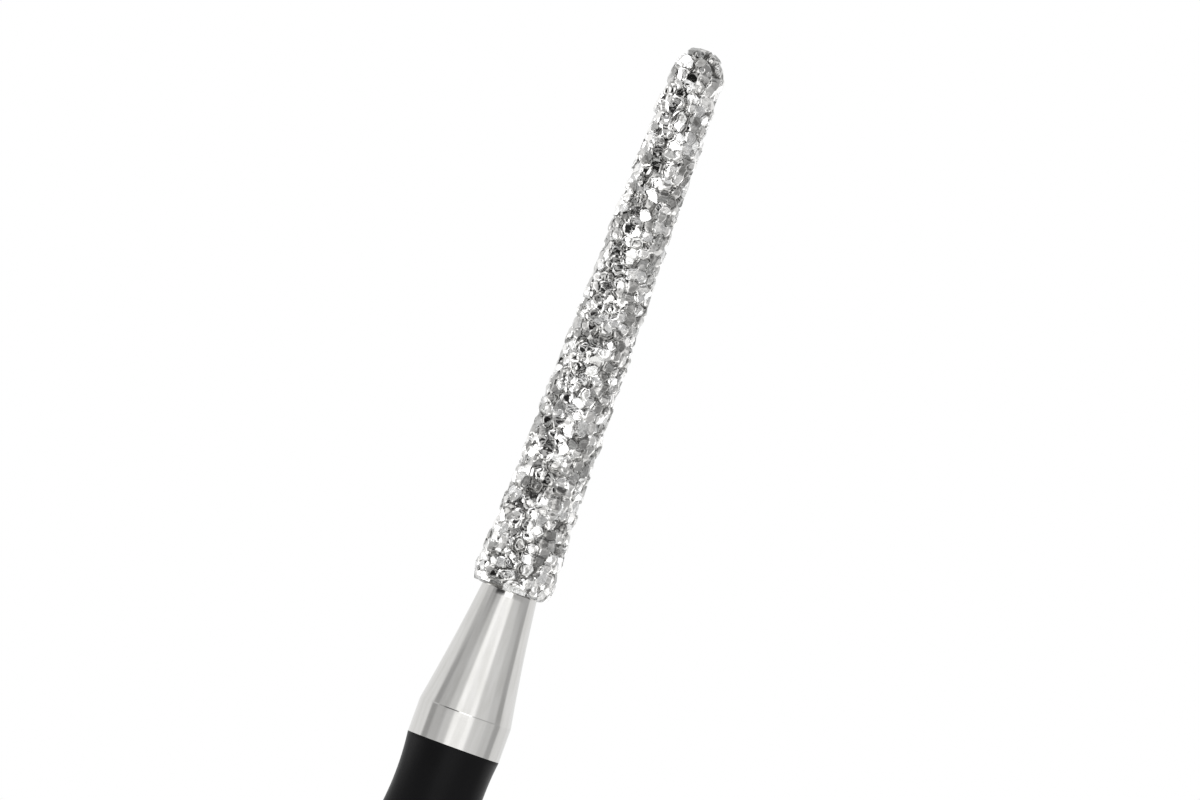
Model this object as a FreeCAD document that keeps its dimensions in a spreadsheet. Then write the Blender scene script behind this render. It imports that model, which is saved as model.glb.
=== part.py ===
"""A round-ended tapered diamond bur for a friction-grip dental handpiece.

The bur is three real pieces. A stainless steel blank is turned in one: the plain grip that the
chuck holds, a waist for the colour band, a short collar, a hollow-ground conical neck, and the
tapered core under the abrasive. A black lacquer band fills the bottom of the waist. Coarse
diamond crystals, about 0.2 mm across, are bound to the core by nickel plating, and this coat
is one rough shell.

Lengths are in millimetres. The axis is Z, the shank's end is at z = 0, and the tip points to +Z.
"""

import FreeCAD, Part
import math
import os
import random

import Sketcher
from FreeCAD import Vector

SIZES = [
    # alias, value, what it is
    ("shank_diameter", 1.6, "the standard friction-grip shank"),
    ("grip_length", 8.4, "plain shank, from its end to the colour band"),
    ("end_chamfer", 0.2, "chamfer round the shank's end"),
    ("band_length", 1.29, "the waist that holds the colour band"),
    ("band_hollow", 0.042, "how far the band's middle dips below its ends"),
    ("band_thickness", 0.05, "the lacquer in the waist"),
    ("collar_length", 0.59, "full-diameter collar between band and neck"),
    ("neck_length", 2.14, "the conical neck"),
    ("neck_end_diameter", 0.955, "the neck's thin end, where the coat begins"),
    ("neck_curve_radius", 36.0, "the neck's slightly hollow outline"),
    ("head_length", 9.54, "the coated working length"),
    ("core_nose_diameter", 0.56, "the rounded end of the core under the coat"),
    ("plating_thickness", 0.05, "nickel between the crystals, over the core"),
    ("crystal_stand", 0.14, "how far a crystal stands out of the nickel"),
    ("crystal_pitch", 0.2, "from one crystal to the next"),
    ("rim_flare", 0.05, "how much thicker the nickel is at the coat's rim"),
    ("rim_flare_length", 1.5, "the stretch over which that swelling fades"),
]

FACET_CORNERS = (3, 4, 4)     # a crystal's top facet has three or four corners
FACET_REACH = (0.65, 0.95)    # from its centre to its corners, as a share of the room it has
CRYSTAL_HEIGHT = (0.68, 1.0)  # a crystal's high side, as a share of crystal_stand
FACET_DROP = (0.4, 0.95)      # its low side, as a share of the high one
SEAT_JITTER = 0.28            # how far a crystal sits from its even place, as a share of the pitch
VALLEY_JITTER = 0.24          # unevenness of the nickel, as a share of its thickness
RIM_JITTER = 0.45             # unevenness of the coat's lower edge, as a share of that thickness
SEED = 181


def make_sheet(doc):
    """Puts the driving dimensions in a spreadsheet, each under its own alias."""
    sheet = doc.addObject("Spreadsheet::Sheet", "sizes")
    for row, (alias, value, note) in enumerate(SIZES, start=1):
        sheet.set(f"A{row}", alias)
        sheet.set(f"B{row}", str(value))
        sheet.set(f"C{row}", note)
        sheet.setAlias(f"B{row}", alias)
    doc.recompute()
    return sheet


class HalfProfile:
    """A closed outline on a body's XZ plane, where x is the radius and y the height."""

    def __init__(self, body, name):
        self.sketch = body.newObject("Sketcher::SketchObject", name)
        plane = next(f for f in body.Origin.OriginFeatures if f.Role == "XZ_Plane")
        self.sketch.AttachmentSupport = (plane, [""])
        self.sketch.MapMode = "FlatFace"
        self.ends = []

    def line(self, start, end):
        """Draws a straight edge between two (radius, height) points, and gives its number."""
        edge = self.sketch.addGeometry(Part.LineSegment(Vector(*start), Vector(*end)), False)
        self.ends.append((1, 2))
        return edge

    def arc(self, start, middle, end):
        """Draws an arc through three (radius, height) points, and gives its number."""
        edge = self.sketch.addGeometry(Part.Arc(Vector(*start), Vector(*middle), Vector(*end)), False)
        drawn_forward = (self.sketch.getPoint(edge, 1) - Vector(*start)).Length < 1e-6
        self.ends.append((1, 2) if drawn_forward else (2, 1))
        return edge

    def begin(self, edge):
        """The edge's first point, as the constraints name it."""
        return edge, self.ends[edge][0]

    def tie(self, kind, *where):
        """Adds a constraint that has no size."""
        self.sketch.addConstraint(Sketcher.Constraint(kind, *where))

    def join_up(self, smooth=()):
        """Joins each edge to the next and the last to the first; smooth ones meet tangentially."""
        count = len(self.ends)
        for edge in range(count):
            after = (edge + 1) % count
            kind = "Tangent" if edge in smooth else "Coincident"
            self.tie(kind, edge, self.ends[edge][1], *self.begin(after))

    def size(self, name, kind, *where, follows):
        """Adds a named dimension that follows an expression on the sheet."""
        now = float(self.sketch.evalExpression(follows))
        index = self.sketch.addConstraint(Sketcher.Constraint(kind, *where, now))
        self.sketch.renameConstraint(index, name)
        self.sketch.setExpression(f"Constraints.{name}", follows)

    def place(self, name, edge, radius=None, height=None):
        """Fixes an edge's first point by expressions for its radius and its height."""
        if radius:
            self.size(name + "_radius", "DistanceX", -1, 1, *self.begin(edge), follows=radius)
        if height:
            self.size(name + "_height", "DistanceY", -1, 1, *self.begin(edge), follows=height)

    def turned(self, body, kind, name):
        """Turns the outline a full circle about Z, as a Revolution or as a Groove."""
        feature = body.newObject("PartDesign::" + kind, name)
        feature.Profile = self.sketch
        feature.ReferenceAxis = (self.sketch, ["V_Axis"])
        feature.Angle = 360
        return feature


COLLAR_TOP = "sizes.grip_length + sizes.band_length + sizes.collar_length"
RIM_HEIGHT = COLLAR_TOP + " + sizes.neck_length"
TIP_HEIGHT = RIM_HEIGHT + " + sizes.head_length"
COAT_THICKNESS = "sizes.plating_thickness + sizes.crystal_stand"
WAIST_TOP = "sizes.grip_length + sizes.band_length"
WAIST_ARC = "(sizes.band_length ^ 2 / 4 + sizes.band_hollow ^ 2) / (2 * sizes.band_hollow)"
SHANK_RADIUS = "sizes.shank_diameter / 2"
WAIST_RADIUS = SHANK_RADIUS + " - sizes.band_thickness"


def make_blank(doc, sheet):
    """The steel blank: grip, waist, collar, neck and core, turned in one."""
    body = doc.addObject("PartDesign::Body", "shank_blank")
    shank = sheet.shank_diameter / 2
    neck_end = sheet.neck_end_diameter / 2
    nose = sheet.core_nose_diameter / 2
    collar_top = sheet.grip_length + sheet.band_length + sheet.collar_length
    rim = collar_top + sheet.neck_length
    core_top = rim + sheet.head_length - sheet.plating_thickness - sheet.crystal_stand
    nose_base = core_top - nose
    chord_middle = ((shank + neck_end) / 2, (collar_top + rim) / 2)
    hollow = sheet.neck_length ** 2 / (8 * sheet.neck_curve_radius)

    outline = HalfProfile(body, "blank_outline")
    outline.line((0, 0), (shank, 0))
    outline.line((shank, 0), (shank, collar_top))
    neck = outline.arc((shank, collar_top), (chord_middle[0] - hollow, chord_middle[1]), (neck_end, rim))
    core = outline.line((neck_end, rim), (nose, nose_base))
    quarter = math.sqrt(0.5)
    round_nose = outline.arc((nose, nose_base), (nose * quarter, nose_base + nose * quarter), (0, core_top))
    axis = outline.line((0, core_top), (0, 0))
    outline.join_up(smooth=(core,))
    outline.tie("Coincident", *outline.begin(0), -1, 1)
    outline.tie("Horizontal", 0)
    outline.tie("Vertical", 1)
    outline.tie("Vertical", axis)
    outline.tie("PointOnObject", round_nose, 3, axis)
    outline.place("shank", 1, radius=SHANK_RADIUS)
    outline.place("collar_top", neck, height=COLLAR_TOP)
    outline.place("neck_end", core, radius="sizes.neck_end_diameter / 2", height=RIM_HEIGHT)
    outline.place("core_top", axis, height=f"{TIP_HEIGHT} - ({COAT_THICKNESS})")
    outline.size("neck_curve", "Radius", neck, follows="sizes.neck_curve_radius")
    outline.size("nose", "Radius", round_nose, follows="sizes.core_nose_diameter / 2")
    turned = outline.turned(body, "Revolution", "turned_blank")
    doc.recompute()

    low, high = sheet.grip_length, sheet.grip_length + sheet.band_length
    floor = shank - sheet.band_thickness
    waist = HalfProfile(body, "waist_outline")
    waist.line((shank + sheet.band_thickness, low), (floor, low))
    seat = waist.arc((floor, low), (floor - sheet.band_hollow, (low + high) / 2), (floor, high))
    waist.line((floor, high), (shank + sheet.band_thickness, high))
    open_side = waist.line((shank + sheet.band_thickness, high), (shank + sheet.band_thickness, low))
    waist.join_up()
    waist.tie("Horizontal", 0)
    waist.tie("Horizontal", 2)
    waist.tie("Vertical", open_side)
    waist.place("open_side", 0, radius=SHANK_RADIUS + " + sizes.band_thickness", height="sizes.grip_length")
    waist.place("seat_low", seat, radius=WAIST_RADIUS)
    waist.place("seat_high", 2, radius=WAIST_RADIUS, height=WAIST_TOP)
    waist.size("seat_curve", "Radius", seat, follows=WAIST_ARC)
    groove = waist.turned(body, "Groove", "waist")
    doc.recompute()
    if not groove.Shape.Volume < turned.Shape.Volume:
        raise RuntimeError("the waist cut nothing out of the blank")

    end_edge = next(
        f"Edge{number}"
        for number, edge in enumerate(groove.Shape.Edges, start=1)
        if edge.BoundBox.ZMax < 1e-6 and edge.BoundBox.XLength > sheet.shank_diameter - 1e-6
    )
    chamfer = body.newObject("PartDesign::Chamfer", "end_chamfer")
    chamfer.Base = (groove, [end_edge])
    chamfer.setExpression("Size", "sizes.end_chamfer")
    doc.recompute()
    return body


def make_band(doc, sheet):
    """The lacquer ring in the waist, flush with the shank at both ends."""
    body = doc.addObject("PartDesign::Body", "colour_band")
    shank = sheet.shank_diameter / 2
    floor = shank - sheet.band_thickness
    low, high = sheet.grip_length, sheet.grip_length + sheet.band_length
    middle = (low + high) / 2
    section = HalfProfile(body, "band_section")
    section.line((floor, low), (shank, low))
    skin = section.arc((shank, low), (shank - sheet.band_hollow, middle), (shank, high))
    section.line((shank, high), (floor, high))
    seat = section.arc((floor, high), (floor - sheet.band_hollow, middle), (floor, low))
    section.join_up()
    section.tie("Horizontal", 0)
    section.tie("Horizontal", 2)
    section.place("seat_low", 0, radius=WAIST_RADIUS, height="sizes.grip_length")
    section.place("skin_low", skin, radius=SHANK_RADIUS)
    section.place("skin_high", 2, radius=SHANK_RADIUS, height=WAIST_TOP)
    section.place("seat_high", seat, radius=WAIST_RADIUS)
    section.size("skin_curve", "Radius", skin, follows=WAIST_ARC)
    section.size("seat_curve", "Radius", seat, follows=WAIST_ARC)
    section.turned(body, "Revolution", "lacquer_ring")
    doc.recompute()
    return body


class NickelSkin:
    """The smooth nickel that the crystals stand on: a cone that ends in a round nose.

    A place on it is (along, around): the distance from the coat's rim along the outline, and the
    angle about Z. Towards the rim the nickel swells.
    """

    def __init__(self, sheet):
        rim_radius = sheet.neck_end_diameter / 2
        rim_height = sheet.grip_length + sheet.band_length + sheet.collar_length + sheet.neck_length
        core_nose = sheet.core_nose_diameter / 2
        coat = sheet.plating_thickness + sheet.crystal_stand
        rise = sheet.head_length - coat - core_nose
        reach = math.hypot(rise, rim_radius)
        self.lean = math.acos(core_nose / reach) - math.atan2(rise, rim_radius)
        self.cone_length = math.sqrt(reach ** 2 - core_nose ** 2)
        self.nose_radius = core_nose + sheet.plating_thickness
        self.nose_height = rim_height + rise
        self.rim_radius = rim_radius + sheet.plating_thickness * math.cos(self.lean)
        self.rim_height = rim_height + sheet.plating_thickness * math.sin(self.lean)
        self.length = self.cone_length + self.nose_radius * (math.pi / 2 - self.lean)
        self.flare = sheet.rim_flare
        self.flare_length = sheet.rim_flare_length

    def at(self, along, around, lift=0.0):
        """The point at (along, around), lifted off the unswollen nickel along its normal."""
        if along <= self.cone_length:
            tilt = self.lean
            radius = self.rim_radius - along * math.sin(tilt)
            height = self.rim_height + along * math.cos(tilt)
        else:
            tilt = self.lean + (along - self.cone_length) / self.nose_radius
            radius = self.nose_radius * math.cos(tilt)
            height = self.nose_height + self.nose_radius * math.sin(tilt)
        radius += lift * math.cos(tilt)
        height += lift * math.sin(tilt)
        return Vector(radius * math.cos(around), radius * math.sin(around), height)

    def swell(self, along):
        """How much thicker the nickel is at that distance from the rim."""
        return self.flare * max(0.0, 1.0 - along / self.flare_length)

    def axes(self, along, around):
        """The unit vectors round the axis, up the outline and outwards at that place."""
        sideways = Vector(-math.sin(around), math.cos(around), 0)
        outwards = self.at(along, around, 1.0) - self.at(along, around)
        return sideways, outwards.cross(sideways), outwards


class Seat:
    """Where one crystal stands, and the corners of the nickel valleys round its foot."""

    def __init__(self, skin, along, around):
        self.along = along
        self.around = around
        self.foot = skin.at(along, around)
        self.valleys = []


class Grit:
    """The coat's outer surface: crystals side by side in rows, with nickel valleys between them."""

    def __init__(self, sheet):
        self.dice = random.Random(SEED)
        self.skin = NickelSkin(sheet)
        self.pitch = sheet.crystal_pitch
        self.stand = sheet.crystal_stand
        self.plating = sheet.plating_thickness
        self.points = []
        self.triangles = []
        rows = self.seat_rows()
        for lower, upper in zip(rows, rows[1:]):
            for trio in laced(lower, upper):
                self.add_valley(trio)
        self.add_base(rows[0])
        for seat in (seat for row in rows for seat in row):
            self.add_crystal(seat)

    def jitter(self, reach):
        """A random length between -reach and reach."""
        return self.dice.uniform(-reach, reach)

    def seat_rows(self):
        """The crystals' seats, in rows from the rim up to the single one on the tip."""
        intervals = round(self.skin.length / (self.pitch * math.sqrt(0.75)) - 0.5)
        row_pitch = self.skin.length / (intervals + 0.5)
        rows = []
        for number in range(intervals):
            along = (number + 0.5) * row_pitch
            girth = math.hypot(*self.skin.at(along, 0.0, self.stand / 2)[:2])
            count = round(2 * math.pi * girth / self.pitch)
            turn = self.dice.uniform(0, 2 * math.pi)
            shift = SEAT_JITTER * self.pitch
            rows.append([
                Seat(
                    self.skin,
                    along + self.jitter(shift),
                    turn + 2 * math.pi * index / count + self.jitter(shift) / girth,
                )
                for index in range(count)
            ])
        return rows + [[Seat(self.skin, self.skin.length, 0.0)]]

    def add_point(self, point):
        """Keeps a point of the surface, and gives its number."""
        self.points.append(point)
        return len(self.points) - 1

    def add_valley(self, trio):
        """Puts a valley corner between three neighbouring crystals."""
        along = sum(seat.along for seat in trio) / 3
        middle = trio[0].foot + trio[1].foot + trio[2].foot
        lift = self.skin.swell(along) + self.jitter(VALLEY_JITTER * self.plating)
        corner = self.add_point(self.skin.at(along, math.atan2(middle.y, middle.x), lift))
        for seat in trio:
            seat.valleys.append(corner)

    def add_base(self, first_row):
        """Draws the coat's lower edge round the neck, and closes the surface below it."""
        rim = []
        for seat, after in zip(first_row, first_row[1:] + first_row[:1]):
            middle = seat.foot + after.foot
            along = self.jitter(RIM_JITTER * self.plating)
            corner = self.add_point(self.skin.at(along, math.atan2(middle.y, middle.x)))
            seat.valleys.append(corner)
            after.valleys.append(corner)
            rim.append(corner)
        centre = self.add_point(Vector(0, 0, self.skin.rim_height))
        for corner, after in zip(rim, rim[1:] + rim[:1]):
            self.triangles.append((centre, after, corner))

    def add_crystal(self, seat):
        """Raises a crystal from the valleys round its seat to a leaning top facet."""
        sideways, up, outwards = self.skin.axes(seat.along, seat.around)
        flat = {}
        for corner in seat.valleys:
            offset = self.points[corner] - seat.foot
            flat[corner] = (offset.dot(sideways), offset.dot(up))
        middle = [sum(place[i] for place in flat.values()) / len(flat) for i in (0, 1)]
        foot = sorted(flat, key=lambda corner: bearing(flat[corner], middle))
        inside = min(
            edge_distance(middle, flat[corner], flat[after])
            for corner, after in zip(foot, foot[1:] + foot[:1])
        )
        on_tip = seat.along == self.skin.length
        high = 1.0 if on_tip else self.dice.uniform(*CRYSTAL_HEIGHT)
        low = 1.0 if on_tip else high * self.dice.uniform(*FACET_DROP)
        leans_to = self.dice.uniform(0, 2 * math.pi)
        sides = self.dice.choice(FACET_CORNERS)
        first = self.dice.uniform(0, 2 * math.pi)
        swell = self.skin.swell(seat.along)
        top = []
        for index in range(sides):
            angle = first + 2 * math.pi * (index + self.jitter(0.16)) / sides
            reach = inside * self.dice.uniform(*FACET_REACH)
            share = (high + low) / 2 + (high - low) / 2 * math.cos(angle - leans_to)
            top.append(self.add_point(
                seat.foot
                + sideways * (middle[0] + reach * math.cos(angle))
                + up * (middle[1] + reach * math.sin(angle))
                + outwards * (swell + self.stand * share)
            ))
        for corner in top:
            offset = self.points[corner] - seat.foot
            flat[corner] = (offset.dot(sideways), offset.dot(up))
        top.sort(key=lambda corner: bearing(flat[corner], middle))
        self.add_sides(foot, top, flat, middle)
        self.triangles.extend((top[0], top[index], top[index + 1]) for index in range(1, sides - 1))

    def add_sides(self, foot, top, flat, middle):
        """Fills between the crystal's foot and its top facet, going round both by bearing."""
        turns = [(bearing(flat[corner], middle), 0, index) for index, corner in enumerate(foot)]
        turns += [(bearing(flat[corner], middle), 1, index) for index, corner in enumerate(top)]
        now = [len(foot) - 1, len(top) - 1]
        for _, ring, index in sorted(turns):
            if ring == 0:
                self.triangles.append((foot[now[0]], foot[index], top[now[1]]))
            else:
                self.triangles.append((top[index], top[now[1]], foot[now[0]]))
            now[ring] = index

    def solid(self):
        """The surface as one solid, filled right through."""
        mesh_data = (self.points, self.triangles)
        shell = Part.Shape()
        shell.makeShapeFromMesh(mesh_data, 1e-5)
        body = Part.makeSolid(shell.Shells[0])
        if body.Volume < 0:
            body.reverse()
        return body


def bearing(place, centre):
    """The direction of a flat place from the centre, as an angle."""
    return math.atan2(place[1] - centre[1], place[0] - centre[0])


def edge_distance(centre, start, end):
    """How far the straight line through two flat places passes from the centre."""
    along = (end[0] - start[0], end[1] - start[1])
    across = (centre[0] - start[0]) * along[1] - (centre[1] - start[1]) * along[0]
    return abs(across) / math.hypot(*along)


def laced(lower, upper):
    """Joins two rows of seats all round by triangles, always over the shorter diagonal."""
    start = min(range(len(upper)), key=lambda k: (upper[k].foot - lower[0].foot).Length)
    upper = upper[start:] + upper[:start]
    steps_up = len(upper) if len(upper) > 1 else 0
    low = high = 0
    trios = []
    while low < len(lower) or high < steps_up:
        here, above = lower[low % len(lower)], upper[high % len(upper)]
        beside, beyond = lower[(low + 1) % len(lower)], upper[(high + 1) % len(upper)]
        low_is_shorter = (beside.foot - above.foot).Length <= (beyond.foot - here.foot).Length
        if high == steps_up or (low < len(lower) and low_is_shorter):
            trios.append((here, beside, above))
            low += 1
        else:
            trios.append((here, above, beyond))
            high += 1
    return trios


def make_coat(doc, sheet, blank):
    """The grit surface, hollowed to sit on the core and against the neck's end."""
    grit = doc.addObject("Part::Feature", "grit_surface")
    grit.Shape = Grit(sheet).solid()
    grit.Placement = FreeCAD.Placement()
    coat = doc.addObject("Part::Cut", "diamond_coat")
    coat.Base = grit
    coat.Tool = blank
    coat.Refine = False
    doc.recompute()
    return coat


def check_and_export(doc, parts):
    """Stops on any feature in error, then writes each sub-part to its own file."""
    for feature in doc.Objects:
        if "Invalid" in feature.State or "Error" in feature.State:
            raise RuntimeError(f"{feature.Label} did not compute: {feature.State}")
    os.makedirs("parts", exist_ok=True)
    for part in parts:
        if part.Shape.isNull() or not part.Shape.isValid() or len(part.Shape.Solids) != 1:
            raise RuntimeError(f"{part.Label} is not one sound solid")
        part.Shape.exportStep(f"parts/{part.Label}.step")
        print(part.Label, len(part.Shape.Faces), "faces", round(part.Shape.Volume, 4), "mm3")


def main():
    doc = FreeCAD.newDocument("diamond_bur")
    sheet = make_sheet(doc)
    blank = make_blank(doc, sheet)
    band = make_band(doc, sheet)
    coat = make_coat(doc, sheet, blank)
    doc.recompute()
    check_and_export(doc, [blank, band, coat])


main()
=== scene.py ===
"""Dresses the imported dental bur: turned steel, black lacquer, nickel plating and diamond grit.

Everything stands in the part's own frame, in metres: the shank's end lies on z = 0, and the
rounded tip points to +Z. Sizes below are in millimetres, and MM turns them to metres.
"""

import logging
import math
import random
from dataclasses import dataclass, field
from enum import Enum
from typing import Any, Iterable, Sequence

import bmesh
import bpy
from mathutils import Matrix, Vector, noise
from mathutils.bvhtree import BVHTree
from mathutils.kdtree import KDTree

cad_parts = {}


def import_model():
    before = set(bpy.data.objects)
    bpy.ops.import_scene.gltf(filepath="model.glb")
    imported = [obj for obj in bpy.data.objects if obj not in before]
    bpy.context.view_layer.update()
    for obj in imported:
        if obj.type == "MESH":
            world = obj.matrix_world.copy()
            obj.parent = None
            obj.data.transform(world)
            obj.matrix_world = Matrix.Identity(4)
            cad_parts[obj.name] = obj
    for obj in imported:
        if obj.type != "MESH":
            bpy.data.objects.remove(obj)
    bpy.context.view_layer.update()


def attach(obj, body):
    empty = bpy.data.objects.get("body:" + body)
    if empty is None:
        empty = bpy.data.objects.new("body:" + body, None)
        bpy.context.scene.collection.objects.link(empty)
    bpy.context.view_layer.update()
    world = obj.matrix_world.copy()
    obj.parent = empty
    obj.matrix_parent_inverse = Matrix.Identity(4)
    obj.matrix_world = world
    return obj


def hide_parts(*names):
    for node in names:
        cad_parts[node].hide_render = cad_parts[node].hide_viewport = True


MM = 0.001
FULL_TURN = 2 * math.pi
TURNED_CREASE = math.radians(25)
SAME_PLACE = 1e-5  # two points closer than this are one, in millimetres
LEAST_CUT = 1e-4  # a cut that takes off less than this is left out, in millimetres
LEAST_BEND = 0.05  # an edge that bends less than this isn't rounded, in radians
CLOSE_ROWS = math.sqrt(0.75)  # how far close-packed rows stand apart, as a share of the pitch
LOG = logging.getLogger("dental_bur")

Outline = list[tuple[float, float]]
Range = tuple[float, float]
Ring = tuple[tuple[float, float], ...]


class Slot(Enum):
    """The record's material slots."""

    STEEL = "stainless_steel"
    LACQUER = "black_lacquer"
    GRIT = "diamond_in_nickel"


class Node(Enum):
    """The CAD nodes that the pieces below stand for."""

    BLANK = "shank_blank"
    BAND = "colour_band"
    COAT = "diamond_coat"


def linear(colour: str) -> tuple[float, float, float, float]:
    """Turns an sRGB hex colour to linear light.

    Args:
        colour: The colour, such as "#D4D3D1".

    Returns:
        Red, green and blue as linear light, and an alpha of 1.
    """
    shares = (int(colour[start:start + 2], 16) / 255 for start in (1, 3, 5))
    red, green, blue = (s / 12.92 if s <= 0.04045 else ((s + 0.055) / 1.055) ** 2.4 for s in shares)
    return red, green, blue, 1.0


def add_node(tree: bpy.types.NodeTree, kind: str, inputs: dict[Any, Any] | None = None,
             **settings: Any) -> bpy.types.Node:
    """Adds a shader node.

    Args:
        tree: The node tree that takes it.
        kind: The node's type name, without "ShaderNode".
        inputs: A value, or an output socket to link, for each named or numbered input.
        settings: Values for the node's own properties.

    Returns:
        The new node.
    """
    node = tree.nodes.new("ShaderNode" + kind)
    for name, value in settings.items():
        setattr(node, name, value)
    for name, value in (inputs or {}).items():
        if isinstance(value, bpy.types.NodeSocket):
            tree.links.new(value, node.inputs[name])
        else:
            node.inputs[name].default_value = value
    return node


def set_ramp(node: bpy.types.Node, stops: Sequence[tuple[float, Sequence[float]]]) -> None:
    """Fills a colour ramp.

    Args:
        node: The colour ramp node.
        stops: Each stop's place, from 0 to 1, and its linear colour.
    """
    elements = node.color_ramp.elements
    while len(elements) < len(stops):
        elements.new(1.0)
    for element, (place, colour) in zip(elements, stops):
        element.position = place
        element.color = (*colour[:3], 1.0)


def new_material(name: str) -> tuple[bpy.types.Material, bpy.types.NodeTree, bpy.types.Node]:
    """Makes an empty node material.

    Args:
        name: The finish's name.

    Returns:
        The material, its node tree and its output node.
    """
    material = bpy.data.materials.new(name)
    material.use_nodes = True
    tree = material.node_tree
    tree.nodes.clear()
    return material, tree, add_node(tree, "OutputMaterial")


@dataclass(frozen=True)
class PolishedSteel:
    """Stainless steel, turned and then polished.

    The eye sees broad soft reflections that run along the bur, because the fine turning rings
    spread light lengthwise and leave it sharp from side to side.
    """

    colour: str = "#D4D3D1"
    worn_colour: str = "#CBCAC7"
    roughness: float = 0.1
    ring_spacing_mm: float = 0.03  # real rings are about a tenth of that, too fine to show
    ring_depth_mm: float = 0.00012
    ring_drift: float = 120.0  # how fast a ring changes round the bur, per metre
    streak_across: float = 9000.0
    streak_along: float = 700.0
    worn_and_clean: Range = (0.3, 0.62)
    roughness_spread: Range = (-0.03, 0.05)
    brushing: float = 0.35

    def material(self) -> bpy.types.Material:
        """Builds the material."""
        material, tree, output = new_material("turned_polished_stainless_steel")
        place = add_node(tree, "TexCoord").outputs["Object"]
        squeeze = add_node(tree, "Mapping", {
            "Vector": place, "Scale": (self.ring_drift, self.ring_drift, 1 / (self.ring_spacing_mm * MM)),
        })
        rings = add_node(tree, "TexNoise", {"Vector": squeeze.outputs[0], "Scale": 1.0, "Detail": 3.0})
        stretch = add_node(tree, "Mapping", {
            "Vector": place, "Scale": (self.streak_across, self.streak_across, self.streak_along),
        })
        streaks = add_node(tree, "TexNoise", {"Vector": stretch.outputs[0], "Scale": 1.0, "Detail": 4.0})
        tone = add_node(tree, "ValToRGB", {"Fac": streaks.outputs["Fac"]})
        worn, clean = self.worn_and_clean
        set_ramp(tone, [(worn, linear(self.worn_colour)), (clean, linear(self.colour))])
        least, most = self.roughness_spread
        polish = add_node(tree, "MapRange", {
            "Value": rings.outputs["Fac"], "To Min": self.roughness + least, "To Max": self.roughness + most,
        })
        bump = add_node(tree, "Bump", {
            "Height": rings.outputs["Fac"], "Strength": 1.0, "Distance": self.ring_depth_mm * MM,
        })
        surface = add_node(tree, "BsdfPrincipled", {
            "Base Color": tone.outputs["Color"], "Metallic": 1.0, "Roughness": polish.outputs[0],
            "Anisotropic": self.brushing, "Normal": bump.outputs[0],
            "Tangent": add_node(tree, "Tangent", direction_type="RADIAL", axis="Z").outputs[0],
        })
        tree.links.new(surface.outputs[0], output.inputs["Surface"])
        return material


@dataclass(frozen=True)
class BlackLacquer:
    """Black lacquer, dipped and cured.

    The eye sees an almost flat black with one soft, faint highlight down its middle.
    """

    colour: str = "#161617"
    roughness: float = 0.3
    roughness_spread: Range = (-0.05, 0.08)
    orange_peel_mm: float = 0.25
    peel_depth_mm: float = 0.003
    ior: float = 1.45
    sheen: float = 0.05  # the specular level, low for a dull cured lacquer

    def material(self) -> bpy.types.Material:
        """Builds the material."""
        material, tree, output = new_material("cured_black_lacquer")
        place = add_node(tree, "TexCoord").outputs["Object"]
        peel = add_node(tree, "TexNoise", {
            "Vector": place, "Scale": 1 / (self.orange_peel_mm * MM), "Detail": 2.0,
        })
        least, most = self.roughness_spread
        gloss = add_node(tree, "MapRange", {
            "Value": peel.outputs["Fac"], "To Min": self.roughness + least, "To Max": self.roughness + most,
        })
        bump = add_node(tree, "Bump", {
            "Height": peel.outputs["Fac"], "Strength": 1.0, "Distance": self.peel_depth_mm * MM,
        })
        surface = add_node(tree, "BsdfPrincipled", {
            "Base Color": linear(self.colour), "Roughness": gloss.outputs[0], "IOR": self.ior,
            "Specular IOR Level": self.sheen, "Normal": bump.outputs[0],
        })
        tree.links.new(surface.outputs[0], output.inputs["Surface"])
        return material


@dataclass(frozen=True)
class BrightNickel:
    """Nickel, electroplated round the crystals and thinly over them.

    The eye sees small nodules and hollows between the crystals. Its colour holds painted shade in
    the hollows and in the nodules' dips, and painted light on the nodules' tops.
    """

    colour: str = "#F8F7F5"
    hollow_shade_colour: str = "#7E7D7B"
    roughness: float = 0.03
    nodule_mm: float = 0.07
    nodule_depth_mm: float = 0.006
    nodule_shading_share: float = 0.5  # how much the nodules' painted light and shade add to the grain's own tone
    shade_and_light_stops: Range = (0.2, 1.0)

    def material(self) -> bpy.types.Material:
        """Builds the material."""
        material, tree, output = new_material("electroplated_nickel")
        place = add_node(tree, "TexCoord").outputs["Object"]
        grain = add_node(tree, "Attribute", attribute_name=DiamondGrit.TONE)
        nodules = add_node(tree, "TexNoise", {
            "Vector": place, "Scale": 1 / (self.nodule_mm * MM), "Detail": 3.0,
        })
        # Painted light and shade: the same noise as the bump makes the nodules' tops lighter and their dips
        # darker.
        mixed = add_node(tree, "Math", {
            0: nodules.outputs["Fac"], 1: self.nodule_shading_share, 2: grain.outputs["Fac"],
        }, operation="MULTIPLY_ADD")
        tone = add_node(tree, "ValToRGB", {"Fac": mixed.outputs[0]})
        # The dark stop is painted shade for the hollows between the crystals; the bright stop is painted
        # light.
        hollow, bright = self.shade_and_light_stops
        set_ramp(tone, [(hollow, linear(self.hollow_shade_colour)), (bright, linear(self.colour))])
        bump = add_node(tree, "Bump", {
            "Height": nodules.outputs["Fac"], "Strength": 1.0, "Distance": self.nodule_depth_mm * MM,
        })
        surface = add_node(tree, "BsdfPrincipled", {
            "Base Color": tone.outputs["Color"], "Metallic": 1.0, "Roughness": self.roughness,
            "Normal": bump.outputs[0],
        })
        tree.links.new(surface.outputs[0], output.inputs["Surface"])
        return material


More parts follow.
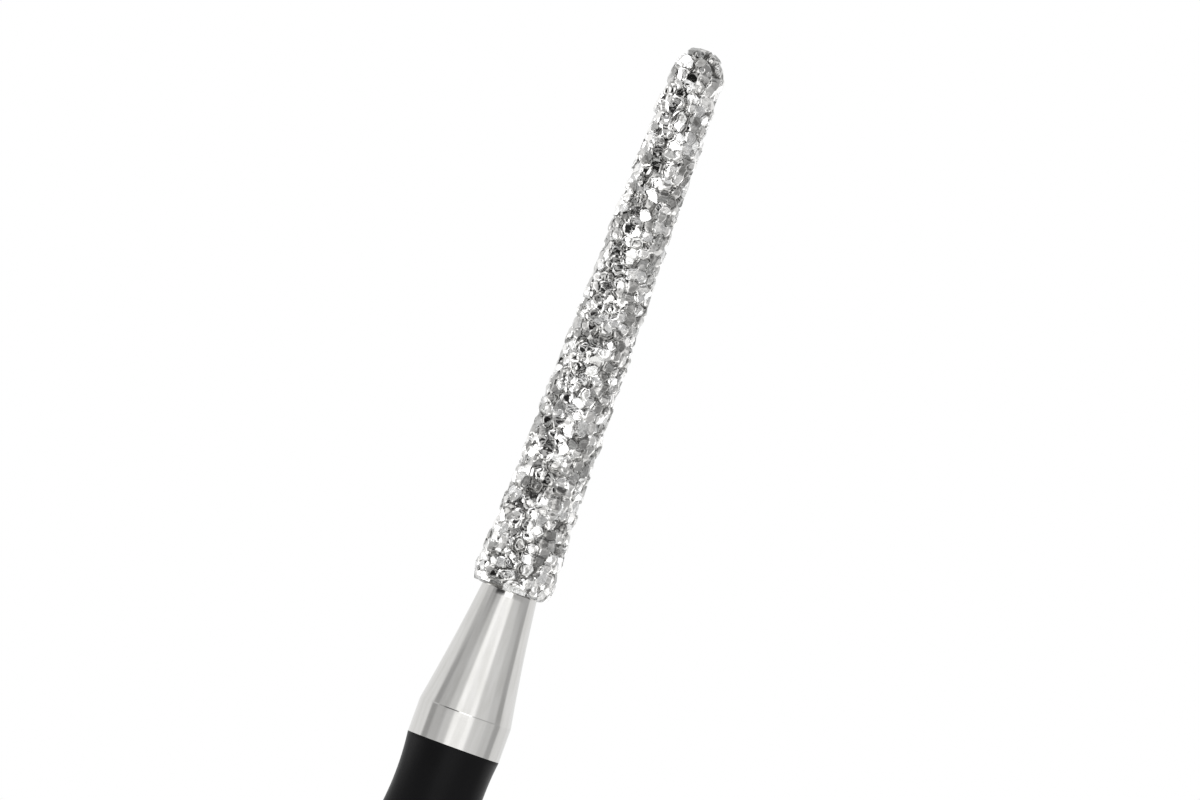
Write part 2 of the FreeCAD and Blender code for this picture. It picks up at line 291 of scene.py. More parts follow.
@dataclass(frozen=True)
class RoughDiamond:
    """Uncut synthetic diamond with a film of nickel on it.

    The eye sees half glassy, half silvery crystals, some clear and some smoky, with hard white
    glints and dark inner edges where light can't get out. Small lighter and darker specks in the
    colour are partly flaws in the stone and partly painted inner reflections.
    """

    clear_colour: str = "#FFFFFF"
    smoky_colour: str = "#BEBEBC"
    ior: float = 1.6
    metallic: float = 0.65
    roughness: float = 0.02
    flaw_and_reflection_mm: float = 0.06
    step_mm: float = 0.004
    smoky_and_clear: Range = (0.35, 0.65)
    frosted_from: Range = (0.45, 0.75)  # the flaws over which the roughness rises
    frost: float = 0.02

    def material(self) -> bpy.types.Material:
        """Builds the material."""
        material, tree, output = new_material("rough_synthetic_diamond")
        place = add_node(tree, "TexCoord").outputs["Object"]
        grain = add_node(tree, "Attribute", attribute_name=DiamondGrit.TONE)
        flaws_and_painted_reflections = add_node(tree, "TexNoise", {
            "Vector": place, "Scale": 1 / (self.flaw_and_reflection_mm * MM), "Detail": 3.0,
        })
        # The flaw noise lightens and darkens the tone in small specks: partly flaws, partly painted inner
        # reflections.
        grain_and_painted_reflections = add_node(tree, "Math", {0: grain.outputs["Fac"], 1: flaws_and_painted_reflections.outputs["Fac"]}, operation="ADD")
        mean = add_node(tree, "Math", {0: grain_and_painted_reflections.outputs[0], 1: 0.5}, operation="MULTIPLY")
        tone = add_node(tree, "ValToRGB", {"Fac": mean.outputs[0]})
        smoky, clear = self.smoky_and_clear
        set_ramp(tone, [(smoky, linear(self.smoky_colour)), (clear, linear(self.clear_colour))])
        least, most = self.frosted_from
        frost = add_node(tree, "MapRange", {
            "Value": flaws_and_painted_reflections.outputs["Fac"], "From Min": least, "From Max": most,
            "To Min": self.roughness, "To Max": self.roughness + self.frost,
        })
        bump = add_node(tree, "Bump", {
            "Height": flaws_and_painted_reflections.outputs["Fac"], "Strength": 1.0, "Distance": self.step_mm * MM,
        })
        surface = add_node(tree, "BsdfPrincipled", {
            "Base Color": tone.outputs["Color"], "Roughness": frost.outputs[0], "IOR": self.ior,
            "Metallic": self.metallic, "Transmission Weight": 1.0, "Normal": bump.outputs[0],
        })
        tree.links.new(surface.outputs[0], output.inputs["Surface"])
        return material


@dataclass(frozen=True)
class PaleFloor:
    """Matt pale laminate that fades out to the white behind it.

    The eye sees only the object's soft shadow on it.
    """

    colour: str = "#E4E4E2"
    roughness: float = 0.7
    full_radius: float = 8.0
    radius: float = 30.0

    def material(self) -> bpy.types.Material:
        """Builds the material."""
        material, tree, output = new_material("matt_pale_laminate")
        surface = add_node(tree, "BsdfPrincipled", {
            "Base Color": linear(self.colour), "Roughness": self.roughness,
        })
        place = add_node(tree, "TexCoord").outputs["Object"]
        reach = add_node(tree, "VectorMath", {0: place}, operation="LENGTH")
        fade = add_node(tree, "MapRange", {
            "Value": reach.outputs["Value"], "From Min": self.full_radius * MM, "From Max": self.radius * MM,
        }, interpolation_type="SMOOTHSTEP")
        open_air = add_node(tree, "BsdfTransparent")
        faded = add_node(tree, "MixShader", {
            0: fade.outputs[0], 1: surface.outputs[0], 2: open_air.outputs[0],
        })
        tree.links.new(faded.outputs[0], output.inputs["Surface"])
        return material


def finish_piece(shape: bmesh.types.BMesh, name: str, node: Node,
                 material: bpy.types.Material, crease: float) -> bpy.types.Object:
    """Turns a shape in millimetres to a piece of the part.

    Args:
        shape: The shape, which is freed.
        name: The piece's name.
        node: The CAD node that it stands for.
        material: Its material.
        crease: The angle past which two faces meet in a sharp edge; at 0 all faces are flat.

    Returns:
        The piece, at the origin, with its place in its mesh.
    """
    bmesh.ops.scale(shape, vec=(MM, MM, MM), verts=shape.verts)
    for face in shape.faces:
        face.smooth = crease > 0
    mesh = bpy.data.meshes.new(name)
    shape.to_mesh(mesh)
    shape.free()
    if 0 < crease < math.pi:
        mesh.set_sharp_from_angle(angle=crease)
    mesh.materials.append(material)
    piece = bpy.data.objects.new(name, mesh)
    bpy.context.scene.collection.objects.link(piece)
    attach(piece, "root")
    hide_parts(node.value)
    LOG.info("%s: %d faces", name, len(mesh.polygons))
    return piece


def turned(outline: Outline, closed: bool, steps: int) -> bmesh.types.BMesh:
    """Turns an outline of (radius, height) points about Z.

    Args:
        outline: The points, from one end to the other.
        closed: Whether the last point is joined to the first.
        steps: The number of facets round the axis.

    Returns:
        The closed shape.
    """
    shape = bmesh.new()
    points = [shape.verts.new((radius, 0.0, height)) for radius, height in outline]
    for start, end in zip(points, points[1:]):
        shape.edges.new((start, end))
    if closed:
        shape.edges.new((points[-1], points[0]))
    bmesh.ops.spin(shape, geom=shape.verts[:] + shape.edges[:], axis=(0, 0, 1), cent=(0, 0, 0),
                   dvec=(0, 0, 0), angle=FULL_TURN, steps=steps, use_merge=True, use_duplicate=False)
    bmesh.ops.remove_doubles(shape, verts=shape.verts[:], dist=SAME_PLACE)
    bmesh.ops.recalc_face_normals(shape, faces=shape.faces[:])
    return shape


def round_rings(shape: bmesh.types.BMesh, heights: Iterable[float], radius: float,
                segments: int) -> None:
    """Rounds the sharp edges that run round the shape at some heights.

    Args:
        shape: The turned shape.
        heights: The edges' heights.
        radius: The rounding's width.
        segments: The facets across each rounding.
    """
    for height in heights:
        ring = [edge for edge in shape.edges
                if all(abs(v.co.z - height) < SAME_PLACE for v in edge.verts)
                and all(math.hypot(v.co.x, v.co.y) > radius for v in edge.verts)
                and edge.calc_face_angle(0.0) > LEAST_BEND]
        bmesh.ops.bevel(shape, geom=ring, offset=radius, offset_type="OFFSET", affect="EDGES",
                        segments=segments, profile=0.5, material=-1)


def arc_points(start: tuple[float, float], end: tuple[float, float], bulge: float,
               count: int) -> Outline:
    """Points along a shallow arc.

    Args:
        start: The arc's first (radius, height) point.
        end: Its last point.
        bulge: How far its middle dips towards the axis.
        count: The number of points between the ends.

    Returns:
        The points between the ends.
    """
    between = []
    for index in range(1, count + 1):
        share = index / (count + 1)
        dip = 4 * bulge * share * (1 - share)
        radius = start[0] + (end[0] - start[0]) * share - dip
        between.append((radius, start[1] + (end[1] - start[1]) * share))
    return between


@dataclass
class SteelBlank:
    """The steel blank: grip, waist, collar, hollow neck and the core under the coat."""

    finish: PolishedSteel = field(default_factory=PolishedSteel)
    shank_radius: float = 0.8
    grip_length: float = 8.4
    end_chamfer: float = 0.2
    band_length: float = 1.29
    band_hollow: float = 0.042
    band_thickness: float = 0.05
    collar_length: float = 0.59
    neck_length: float = 2.14
    neck_end_radius: float = 0.4775
    neck_curve_radius: float = 36.0
    head_length: float = 9.54
    nose_radius: float = 0.28
    plating: float = 0.05
    crystal_stand: float = 0.14
    crease_rounding: float = 0.012
    end_rounding: float = 0.03
    rounding_segments: int = 3
    steps: int = 144
    grip_rows: int = 12
    collar_rows: int = 4
    waist_points: int = 11
    neck_points: int = 19
    nose_steps: int = 10

    @property
    def waist_top(self) -> float:
        """The height of the band's upper end."""
        return self.grip_length + self.band_length

    @property
    def collar_top(self) -> float:
        """The height of the crease between collar and neck."""
        return self.waist_top + self.collar_length

    @property
    def rim(self) -> float:
        """The height of the coat's lower edge."""
        return self.collar_top + self.neck_length

    @property
    def nose_centre(self) -> float:
        """The height of the core's nose centre."""
        coat = self.plating + self.crystal_stand
        return self.rim + self.head_length - coat - self.nose_radius

    @property
    def lean(self) -> float:
        """The core's taper: how far its outward normal tilts up, in radians."""
        rise = self.nose_centre - self.rim
        reach = math.hypot(rise, self.neck_end_radius)
        return math.acos(self.nose_radius / reach) - math.atan2(rise, self.neck_end_radius)

    def core_outline(self) -> Outline:
        """The core's outline from the rim to the tip."""
        points = [(self.neck_end_radius, self.rim)]
        for index in range(self.nose_steps + 1):
            tilt = self.lean + (math.pi / 2 - self.lean) * index / self.nose_steps
            radius = max(0.0, self.nose_radius * math.cos(tilt))
            points.append((radius, self.nose_centre + self.nose_radius * math.sin(tilt)))
        points[-1] = (0.0, points[-1][1])
        return points

    def build(self) -> bpy.types.Object:
        """Makes the piece."""
        radius, floor = self.shank_radius, self.shank_radius - self.band_thickness
        low, high = (floor, self.grip_length), (floor, self.waist_top)
        neck_end = (self.neck_end_radius, self.rim)
        neck_dip = self.neck_length ** 2 / (8 * self.neck_curve_radius)
        plain = self.grip_length - self.end_chamfer
        outline = [(0.0, 0.0), (radius - self.end_chamfer, 0.0), (radius, self.end_chamfer)]
        outline += [(radius, self.end_chamfer + plain * row / self.grip_rows)
                    for row in range(1, self.grip_rows + 1)]
        outline += [low, *arc_points(low, high, self.band_hollow, self.waist_points), high]
        outline.append((radius, self.waist_top))
        outline += [(radius, self.waist_top + self.collar_length * row / self.collar_rows)
                    for row in range(1, self.collar_rows + 1)]
        outline += arc_points((radius, self.collar_top), neck_end, neck_dip, self.neck_points)
        outline += self.core_outline()
        shape = turned(outline, False, self.steps)
        round_rings(shape, (self.collar_top,), self.crease_rounding, self.rounding_segments)
        round_rings(shape, (0.0, self.end_chamfer), self.end_rounding, self.rounding_segments)
        return finish_piece(shape, "steel_blank", Node.BLANK, self.finish.material(),
                            TURNED_CREASE)


@dataclass
class ColourBand:
    """The ring of lacquer in the blank's waist."""

    blank: SteelBlank
    finish: BlackLacquer = field(default_factory=BlackLacquer)
    points: int = 15
    edge_rounding: float = 0.006
    rounding_segments: int = 2

    def build(self) -> bpy.types.Object:
        """Makes the piece."""
        blank = self.blank
        inner, outer = blank.shank_radius - blank.band_thickness, blank.shank_radius
        low, high, dip = blank.grip_length, blank.waist_top, blank.band_hollow
        skin = arc_points((outer, low), (outer, high), dip, self.points)
        seat = arc_points((inner, low), (inner, high), dip, self.points)
        outline = [(inner, low), (outer, low), *skin, (outer, high), (inner, high), *reversed(seat)]
        shape = turned(outline, True, blank.steps)
        round_rings(shape, (low, high), self.edge_rounding, self.rounding_segments)
        return finish_piece(shape, "lacquer_band", Node.BAND, self.finish.material(),
                            TURNED_CREASE)


def chop(shape: bmesh.types.BMesh, point: Vector, normal: Vector) -> None:
    """Cuts off what lies beyond a plane, and closes the cut.

    Args:
        shape: The crystal.
        point: A point of the plane.
        normal: The plane's direction, away from what stays.
    """
    if max((vertex.co - point).dot(normal) for vertex in shape.verts) <= LEAST_CUT:
        return
    cut = bmesh.ops.bisect_plane(shape, geom=shape.verts[:] + shape.edges[:] + shape.faces[:],
                                 dist=SAME_PLACE, plane_co=point, plane_no=normal, clear_outer=True)
    rim = [part for part in cut["geom_cut"] if isinstance(part, bmesh.types.BMEdge)]
    if len(rim) > 2:
        bmesh.ops.holes_fill(shape, edges=rim, sides=0)


def facing(azimuth: float, elevation: float) -> Vector:
    """The direction at that azimuth, and at that elevation over the crystal's foot."""
    return Vector((math.cos(azimuth) * math.cos(elevation), math.sin(azimuth) * math.cos(elevation),
                   math.sin(elevation)))


@dataclass(frozen=True)
class Cleavage:
    """How a rough crystal breaks: a block with a leaning top, broken sides and chipped corners.

    Reaches are shares of the crystal's half width, and levels are shares of its height. Tilts are in
    degrees over the crystal's foot. A pair holds the least and the most.
    """

    stretch: Range = (0.85, 1.18)
    top_lean: float = math.radians(9)
    top_level: float = 0.93
    sides: tuple[int, ...] = (5, 6, 7)
    side_jitter: Range = (-0.25, 0.25)
    side_tilt: Range = (-4, 32)
    side_reach: Range = (0.7, 0.95)
    side_level: float = 0.35
    chips: tuple[int, ...] = (3, 4, 5, 6)
    chip_tilt: Range = (38, 66)
    chip_reach: Range = (0.45, 0.8)

    def cleave(self, dice: random.Random, width: float, top: float, bottom: float) -> bmesh.types.BMesh:
        """Makes a rough crystal.

        Args:
            dice: The source of its randomness.
            width: Its width.
            top: How far it stands out.
            bottom: How deep it reaches.

        Returns:
            The crystal, in its seat's own directions.
        """
        shape = bmesh.new()
        bmesh.ops.create_cube(shape, size=1.0)
        stretch = dice.uniform(*self.stretch)
        bmesh.ops.scale(shape, vec=(width * stretch, width / stretch, top - bottom), verts=shape.verts)
        turn = Matrix.Rotation(dice.uniform(0, FULL_TURN), 3, "Z")
        bmesh.ops.rotate(shape, matrix=turn, verts=shape.verts)
        bmesh.ops.translate(shape, vec=(0, 0, (top + bottom) / 2), verts=shape.verts)
        lean = facing(dice.uniform(0, FULL_TURN), math.pi / 2 - abs(dice.gauss(0, self.top_lean)))
        chop(shape, Vector((0, 0, top * self.top_level)), lean)
        sides = dice.choice(self.sides)
        first = dice.uniform(0, FULL_TURN)
        for index in range(sides):
            azimuth = first + FULL_TURN * (index + dice.uniform(*self.side_jitter)) / sides
            out = facing(azimuth, math.radians(dice.uniform(*self.side_tilt)))
            reach = facing(azimuth, 0.0) * width / 2 * dice.uniform(*self.side_reach)
            chop(shape, reach + Vector((0, 0, top * self.side_level)), out)
        for _ in range(dice.choice(self.chips)):
            azimuth = dice.uniform(0, FULL_TURN)
            out = facing(azimuth, math.radians(dice.uniform(*self.chip_tilt)))
            reach = facing(azimuth, 0.0) * width / 2 * dice.uniform(*self.chip_reach)
            chop(shape, reach + Vector((0, 0, top * self.top_level)), out)
        high = max(vertex.co.z for vertex in shape.verts)
        bmesh.ops.translate(shape, vec=(0, 0, top - high), verts=shape.verts)
        return shape


@dataclass
class Crystal:
    """One crystal's seat on the nickel: its foot, and the directions sideways, up and outwards."""

    along: float
    foot: Vector
    axes: Matrix

    def local(self, point: Vector) -> Vector:
        """The point as seen from the foot."""
        return self.axes.transposed() @ (point - self.foot)

    def place(self) -> Matrix:
        """The turn and the move from the seat's own directions to the part's."""
        return Matrix.Translation(self.foot) @ self.axes.to_4x4()


@dataclass
class DiamondGrit:
    """The crystals of the coat, each on the seat that the part's source gives it.

    Heights are shares of crystal_stand, and widths are shares of the pitch. Reaches are millimetres
    from the tip, along the outline.
    """

    # Each crystal's random tone, and on the nickel also the painted shade of the hollows between crystals.
    TONE = "grain_tone_and_hollow_shade"

    blank: SteelBlank
    finish: RoughDiamond = field(default_factory=RoughDiamond)
    cleavage: Cleavage = field(default_factory=Cleavage)
    pitch: float = 0.2
    film: float = 0.006  # how thick the nickel lies over the crystals
    rim_flare: float = 0.05
    rim_flare_length: float = 1.5
    rim_slope: float = math.radians(72)
    rim_level: float = 0.35
    rim_cut: Range = (-0.01, 0.06)  # where a crystal ends over the rim, in millimetres
    seat_jitter: float = 0.28
    seat_seed: int = 181
    crystal_seed: int = 911
    heights: Range = (0.7, 1.0)
    tip_reach: float = 0.2
    tip_heights: Range = (1.0, 1.1)
    shoulder_reach: float = 0.5
    shoulder_heights: Range = (0.66, 0.86)
    widths: Range = (1.15, 1.7)
    root: float = 0.8  # how deep a crystal goes into the nickel, as a share of its thickness
    seam: float = 0.002  # half the gap between two crystals
    crystals: list[Crystal] = field(default_factory=list)

    def __post_init__(self) -> None:
        """Lays out the seats."""
        self.plating, self.stand = self.blank.plating, self.blank.crystal_stand
        self.nose = self.blank.nose_radius + self.plating
        rise = self.blank.nose_centre - self.blank.rim
        reach = math.hypot(rise, self.blank.neck_end_radius)
        self.cone_length = math.sqrt(reach ** 2 - self.blank.nose_radius ** 2)
        self.length = self.cone_length + self.nose * (math.pi / 2 - self.blank.lean)
        dice = random.Random(self.seat_seed)
        shift = self.seat_jitter * self.pitch
        intervals = round(self.length / (self.pitch * CLOSE_ROWS) - 0.5)
        row_pitch = self.length / (intervals + 0.5)
        for number in range(intervals):
            along = (number + 0.5) * row_pitch
            girth = self.at(along, 0.0, self.stand / 2).x
            count = round(FULL_TURN * girth / self.pitch)
            turn = dice.uniform(0, FULL_TURN)
            for index in range(count):
                place = along + dice.uniform(-shift, shift)
                around = turn + FULL_TURN * index / count + dice.uniform(-shift, shift) / girth
                self.add_seat(place, around)
        self.add_seat(self.length, 0.0)

    def at(self, along: float, around: float, lift: float = 0.0) -> Vector:
        """A point of the nickel's even surface.

        Args:
            along: The distance from the rim, along the outline.
            around: The angle about Z.
            lift: How far the point is moved outwards.

        Returns:
            The point.
        """
        lean = self.blank.lean
        if along <= self.cone_length:
            tilt = lean
            radius = self.blank.neck_end_radius + self.plating * math.cos(lean) - along * math.sin(lean)
            height = self.blank.rim + self.plating * math.sin(lean) + along * math.cos(lean)
        else:
            tilt = lean + (along - self.cone_length) / self.nose
            radius = self.nose * math.cos(tilt)
            height = self.blank.nose_centre + self.nose * math.sin(tilt)
        radius += lift * math.cos(tilt)
        height += lift * math.sin(tilt)
        return Vector((radius * math.cos(around), radius * math.sin(around), height))

    def swell(self, along: float) -> float:
        """How much thicker the nickel is at that distance from the rim."""
        return self.rim_flare * max(0.0, 1.0 - max(0.0, along) / self.rim_flare_length)

    def add_seat(self, along: float, around: float) -> None:
        """Adds a crystal's seat at that place."""
        foot = self.at(along, around)
        sideways = Vector((-math.sin(around), math.cos(around), 0.0))
        outwards = self.at(along, around, 1.0) - foot
        foot += outwards * self.swell(along)
        axes = Matrix((sideways, outwards.cross(sideways), outwards)).transposed()
        self.crystals.append(Crystal(along, foot, axes))

    def near_crystals(self) -> KDTree:
        """A search tree over the crystals' feet."""
        tree = KDTree(len(self.crystals))
        for index, crystal in enumerate(self.crystals):
            tree.insert(crystal.foot, index)
        tree.balance()
        return tree

    def height_range(self, crystal: Crystal) -> Range:
        """The least and the greatest height of a crystal at that seat."""
        reach = self.length - crystal.along
        if reach < self.tip_reach:
            return self.tip_heights
        return self.shoulder_heights if reach < self.shoulder_reach else self.heights

    def grow(self, number: int, tree: KDTree, dice: random.Random) -> bmesh.types.BMesh:
        """Makes the crystal of one seat, cut back from its neighbours and at the coat's ends.

        Args:
            number: The seat's number.
            tree: A search tree over the crystals' feet.
            dice: The source of its randomness.

        Returns:
            The crystal, in its place.
        """
        crystal = self.crystals[number]
        top = self.stand * dice.uniform(*self.height_range(crystal))
        width = self.pitch * dice.uniform(*self.widths)
        shape = self.cleavage.cleave(dice, width, top, -self.root * self.plating)
        for _, other, _ in tree.find_range(crystal.foot, 2 * self.pitch):
            if other != number:
                towards = crystal.local(self.crystals[other].foot)
                chop(shape, towards * 0.5 - towards.normalized() * self.seam, towards.normalized())
        tone = shape.verts.layers.float.new(self.TONE)
        grade = dice.random()
        for vertex in shape.verts:
            vertex[tone] = grade
        rim = Vector((0, -crystal.along, self.stand * self.rim_level))
        chop(shape, rim, facing(-math.pi / 2, self.rim_slope))
        bmesh.ops.transform(shape, matrix=crystal.place(), verts=shape.verts)
        bottom = self.blank.rim + dice.uniform(*self.rim_cut)
        chop(shape, Vector((0, 0, bottom)), Vector((0, 0, -1)))
        tip = self.blank.rim + self.blank.head_length - self.film
        chop(shape, Vector((0, 0, tip)), Vector((0, 0, 1)))
        return shape

    def build(self) -> bpy.types.Object:
        """Makes the piece, and keeps its skin and its faces' tones for the nickel."""
        dice = random.Random(self.crystal_seed)
        tree = self.near_crystals()
        grit = bmesh.new()
        grit.verts.layers.float.new(self.TONE)
        sample = bpy.data.meshes.new("one_crystal")
        for number in range(len(self.crystals)):
            shape = self.grow(number, tree, dice)
            shape.to_mesh(sample)
            shape.free()
            grit.from_mesh(sample)
        bpy.data.meshes.remove(sample)
        bmesh.ops.recalc_face_normals(grit, faces=grit.faces[:])
        layer = grit.verts.layers.float[self.TONE]
        self.tones = [face.verts[0][layer] for face in grit.faces]
        self.skin = BVHTree.FromBMesh(grit)
        return finish_piece(grit, "diamond_crystals", Node.COAT, self.finish.material(), 0.0)


@dataclass
class NickelBond:
    """The nickel plating between and over the crystals, from the neck's end over the tip."""

    grit: DiamondGrit
    finish: BrightNickel = field(default_factory=BrightNickel)
    steps: int = 184
    rows: int = 500
    fill: float = 0.06
    relaxing: int = 3
    hollow_shade_tone: float = -0.2  # the painted shade of nickel that covers no crystal, down in the hollows between them
    lumps: tuple[Range, ...] = ((0.025, 5.5), (0.014, 12))  # each layer's height, and how many a mm
    ragged: float = 0.04
    ragged_length: float = 0.2
    ragged_mean: float = 0.6
    ragged_scale: float = 6.0
    edge_share: float = 0.003  # the lowest part of the head, which keeps its place
    nose_margin: float = 0.01
    tip_margin: float = 0.002
    lip: Range = (0.012, 0.004)  # how far the lower edge reaches out and down, under the coat
    lip_drop: float = 0.002

    def outside(self, point: Vector) -> bool:
        """Whether the point is on the outer side of the plating, off its lower edge."""
        blank = self.grit.blank
        if point.z > blank.nose_centre:
            reach = (point - Vector((0, 0, blank.nose_centre))).length
            return reach > self.grit.nose - self.nose_margin
        share = (point.z - blank.rim) / (blank.nose_centre - blank.rim)
        core = blank.neck_end_radius + (blank.nose_radius - blank.neck_end_radius) * share
        return share > self.edge_share and math.hypot(point.x, point.y) > core + self.grit.plating / 2

    def outwards(self, point: Vector) -> Vector:
        """The outward direction at a point of the plating."""
        centre, lean = self.grit.blank.nose_centre, self.grit.blank.lean
        if point.z > centre:
            return (point - Vector((0, 0, centre))).normalized()
        level = Vector((point.x, point.y, 0.0)).normalized()
        return (level * math.cos(lean) + Vector((0, 0, math.sin(lean)))).normalized()

    def even_shell(self) -> bmesh.types.BMesh:
        """Makes the plating as an even shell over the core."""
        grit, blank = self.grit, self.grit.blank
        stations = [grit.length * row / self.rows for row in range(1, self.rows + 1)]
        outer = [grit.at(along, 0.0, grit.swell(along)) for along in stations]
        first = grit.at(0.0, 0.0)
        out, down = self.lip
        outline = [(blank.neck_end_radius + out, blank.rim - down), (first.x, first.z - self.lip_drop)]
        outline += [(max(0.0, point.x), point.z) for point in outer]
        outline[-1] = (0.0, outline[-1][1])
        outline += reversed(blank.core_outline())
        shape = turned(outline, False, self.steps)
        open_edges = [edge for edge in shape.edges if edge.is_boundary]
        bmesh.ops.holes_fill(shape, edges=open_edges, sides=0)
        return shape

    def cover(self, vertex: bmesh.types.BMVert, tone: bmesh.types.BMLayerItem) -> None:
        """Lifts a point of the shell over the crystals, and gives it their tone, or painted shade where it
        covers none.

        Args:
            vertex: The point.
            tone: The layer that holds the tones.
        """
        grit, blank = self.grit, self.grit.blank
        way = self.outwards(vertex.co)
        above = vertex.co + way * 2 * grit.stand
        hit, _, number, depth = grit.skin.ray_cast(above, -way, 2 * grit.stand)
        lift = max(self.fill, 0.0 if hit is None else 2 * grit.stand - depth + grit.film)
        # Nickel over no crystal lies in the hollows between them and gets the painted shade tone.
        vertex[tone] = grit.tones[number] if lift > self.fill else self.hollow_shade_tone
        for height, scale in self.lumps:
            lift += height * noise.noise(vertex.co * scale)
        vertex.co += way * lift
        vertex.co.z = min(vertex.co.z, blank.rim + blank.head_length - self.tip_margin)
        fade = max(0.0, 1.0 - (vertex.co.z - blank.rim) / self.ragged_length)
        unevenness = self.ragged_mean + noise.noise(vertex.co * self.ragged_scale)
        vertex.co.z += fade * self.ragged * unevenness

    def build(self) -> bpy.types.Object:
        """Makes the piece."""
        shape = self.even_shell()
        tone = shape.verts.layers.float.new(self.grit.TONE)
        outer = [vertex for vertex in shape.verts if self.outside(vertex.co)]
        for vertex in outer:
            self.cover(vertex, tone)
        for _ in range(self.relaxing):
            bmesh.ops.smooth_vert(shape, verts=outer, factor=0.5, use_axis_x=True, use_axis_y=True,
                                  use_axis_z=True)
        bmesh.ops.recalc_face_normals(shape, faces=shape.faces[:])
        return finish_piece(shape, "nickel_bond", Node.COAT, self.finish.material(), math.pi)


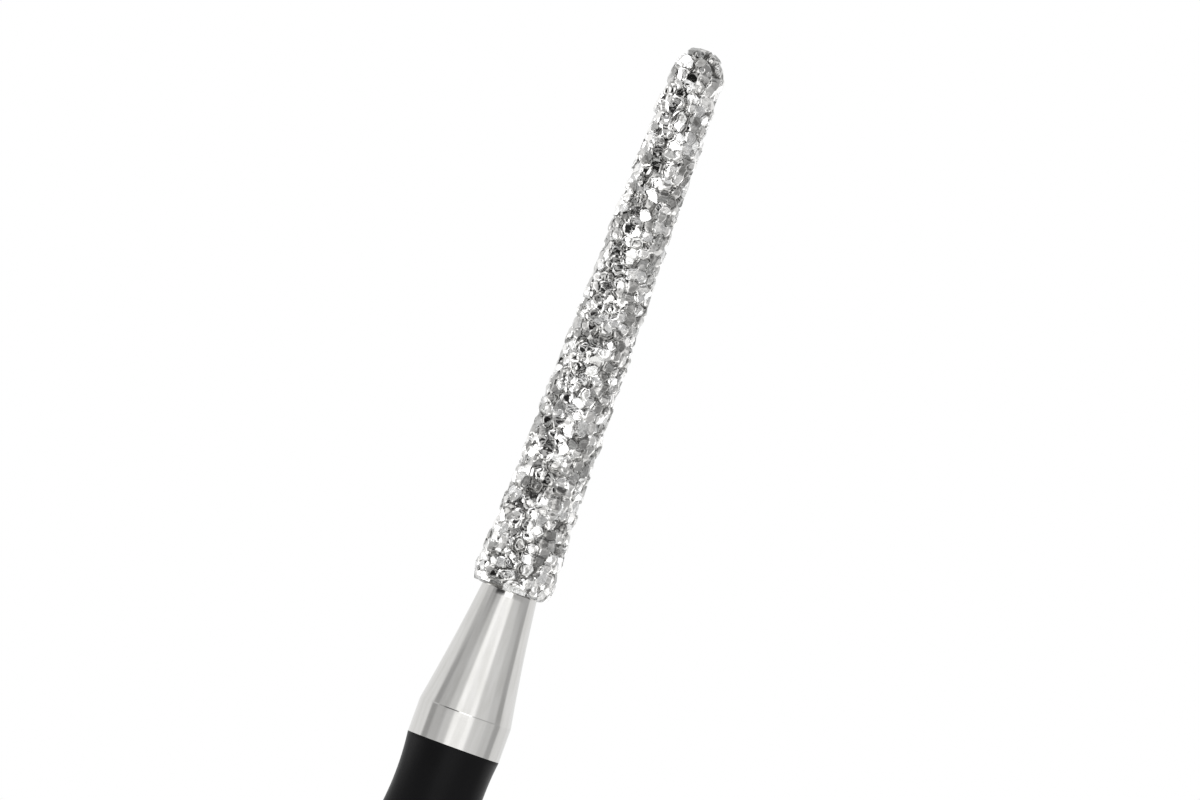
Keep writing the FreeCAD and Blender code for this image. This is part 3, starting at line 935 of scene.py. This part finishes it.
@dataclass
class Studio:
    """The light tent, the floor and the camera.

    The tent is a stack of rings of upright panels. A ring gives each panel's first angle about Z,
    in degrees from the camera's side, and its brightness, where 1 is white. The lowest ring
    reaches down to the floor, and each other ring starts at its own elevation in degrees.
    """

    floor_finish: PaleFloor = field(default_factory=PaleFloor)
    floor_steps: int = 96
    distance: float = 400.0
    photo_width_px: float = 1200
    px_per_mm: float = 60.4
    axis_to_middle_px: float = 20.55
    roll: float = math.radians(20.0)
    centre_height: float = 15.7975
    full: float = 2.5
    soft_edge: float = 1.2
    panel_blend: float = 3.0  # how far a panel blends into its edge, in degrees
    low: Ring = ((-180, 0.8), (-120, 2.5), (-90, 1.3), (-71, 0.03), (-16, 2.4), (16, 1.8), (31, 0.5),
                 (101, 1.7), (158, 0.8))
    walls: Ring = ((-180, 1.0), (-91, 0.45), (-73, 0.65), (-44, 0.85), (-25, 1.45), (-11, 1.25),
                   (11, 1.4), (24, 0.9), (57, 0.75), (82, 0.5), (101, 0.95))
    cards: Ring = ((-180, 1.0), (-95, 0.75), (-69, 0.45), (-53, 0.04), (-15, 2.5), (17, 0.55),
                   (100, 1.0))
    upper: Ring = ((-180, 0.8), (-120, 2.2), (-69, 0.05), (-13, 1.2), (17, 0.25), (102, 0.6))
    roof: Ring = ((-180, 1.15),)
    walls_from: float = -4.0
    cards_from: float = 2.8
    upper_walls_from: float = 12.0
    upper_from: float = 25.0
    roof_from: float = 60.0

    @property
    def stack(self) -> tuple[tuple[float, Ring], ...]:
        """The rings above the lowest one, with the elevation that each starts at."""
        return ((self.walls_from, self.walls), (self.cards_from, self.cards),
                (self.upper_walls_from, self.walls), (self.upper_from, self.upper),
                (self.roof_from, self.roof))

    def ramp_around(self, tree: bpy.types.NodeTree, angle: bpy.types.NodeSocket,
                    panels: Ring) -> bpy.types.NodeSocket:
        """Adds a ramp of the tent's brightness by the angle about Z.

        Args:
            tree: The world's nodes.
            angle: The angle, as a share of a full turn.
            panels: Each panel's first angle in degrees, and its brightness; it reaches to the next.

        Returns:
            The ramp's colour, as a share of full.
        """
        ramp = add_node(tree, "ValToRGB", {"Fac": angle})
        ends = [start for start, _ in panels[1:]] + [180.0]
        stops = []
        for (start, level), end in zip(panels, ends):
            for degrees in (start + self.panel_blend, end - self.panel_blend):
                stops.append((degrees / 360 + 0.5, [level / self.full] * 3))
        set_ramp(ramp, stops)
        return ramp.outputs["Color"]

    def light(self) -> None:
        """Makes the tent, which only mirrored and refracted rays see; all others see plain white."""
        world = bpy.data.worlds.new("light_tent")
        bpy.context.scene.world = world
        world.use_nodes = True
        tree = world.node_tree
        tree.nodes.clear()
        way = add_node(tree, "SeparateXYZ", {0: add_node(tree, "TexCoord").outputs["Generated"]})
        front = add_node(tree, "Math", {0: way.outputs["Y"], 1: -1.0}, operation="MULTIPLY")
        turn = add_node(tree, "Math", {0: way.outputs["X"], 1: front.outputs[0]}, operation="ARCTAN2")
        share = add_node(tree, "Math", {
            0: turn.outputs[0], 1: 1 / FULL_TURN, 2: 0.5,
        }, operation="MULTIPLY_ADD")
        rise = add_node(tree, "Math", {0: way.outputs["Z"]}, operation="ARCSINE")
        level = add_node(tree, "Math", {0: rise.outputs[0], 1: math.degrees(1.0)}, operation="MULTIPLY")
        colour = self.ramp_around(tree, share.outputs[0], self.low)
        for start, ring in self.stack:
            edge = add_node(tree, "MapRange", {
                "Value": level.outputs[0],
                "From Min": start - self.soft_edge, "From Max": start + self.soft_edge,
            })
            above = self.ramp_around(tree, share.outputs[0], ring)
            mixed = add_node(tree, "Mix", {
                "Factor": edge.outputs[0], 6: colour, 7: above,
            }, data_type="RGBA")
            colour = mixed.outputs[2]
        tent = add_node(tree, "Background", {"Color": colour, "Strength": self.full})
        white = add_node(tree, "Background", {"Color": (1.0, 1.0, 1.0, 1.0), "Strength": 1.0})
        path = add_node(tree, "LightPath").outputs
        mirrored = add_node(tree, "Math", {
            0: path["Is Glossy Ray"], 1: path["Is Transmission Ray"],
        }, operation="MAXIMUM")
        both = add_node(tree, "MixShader", {
            0: mirrored.outputs[0], 1: white.outputs[0], 2: tent.outputs[0],
        })
        output = add_node(tree, "OutputWorld", {"Surface": both.outputs[0]})
        output.is_active_output = True

    def lay_floor(self) -> None:
        """Makes the floor under the shank's end."""
        shape = bmesh.new()
        bmesh.ops.create_circle(shape, cap_ends=True, cap_tris=False, segments=self.floor_steps,
                                radius=self.floor_finish.radius * MM)
        mesh = bpy.data.meshes.new("floor")
        shape.to_mesh(mesh)
        shape.free()
        mesh.materials.append(self.floor_finish.material())
        floor = bpy.data.objects.new("floor", mesh)
        bpy.context.scene.collection.objects.link(floor)

    def set_camera(self) -> None:
        """Sets the camera level with the head, rolled so that the tip leans to the upper right."""
        right = Vector((math.cos(self.roll), 0.0, math.sin(self.roll)))
        up = Vector((-math.sin(self.roll), 0.0, math.cos(self.roll)))
        back = Vector((0.0, -1.0, 0.0))
        offset = self.axis_to_middle_px / self.px_per_mm
        aim = Vector((0.0, 0.0, self.centre_height)) + right * offset
        place = Matrix.Translation((aim + back * self.distance) * MM)
        data = bpy.data.cameras.new("camera")
        data.sensor_width = 36.0
        frame_width = self.photo_width_px / self.px_per_mm
        data.lens = data.sensor_width * self.distance / frame_width
        data.clip_start = 0.05
        data.clip_end = 5.0
        camera = bpy.data.objects.new("camera", data)
        camera.matrix_world = place @ Matrix((right, up, back)).transposed().to_4x4()
        bpy.context.scene.collection.objects.link(camera)
        bpy.context.scene.camera = camera


def main() -> None:
    """Builds the bur's pieces in order, and then the studio round them."""
    logging.basicConfig(level=logging.INFO, format="%(name)s: %(message)s")
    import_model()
    bpy.context.scene.view_settings.view_transform = "Standard"
    blank = SteelBlank()
    blank.build()
    ColourBand(blank).build()
    grit = DiamondGrit(blank)
    grit.build()
    NickelBond(grit).build()
    studio = Studio()
    studio.light()
    studio.lay_floor()
    studio.set_camera()
    bpy.context.view_layer.update()


if __name__ == "__main__":
    main()
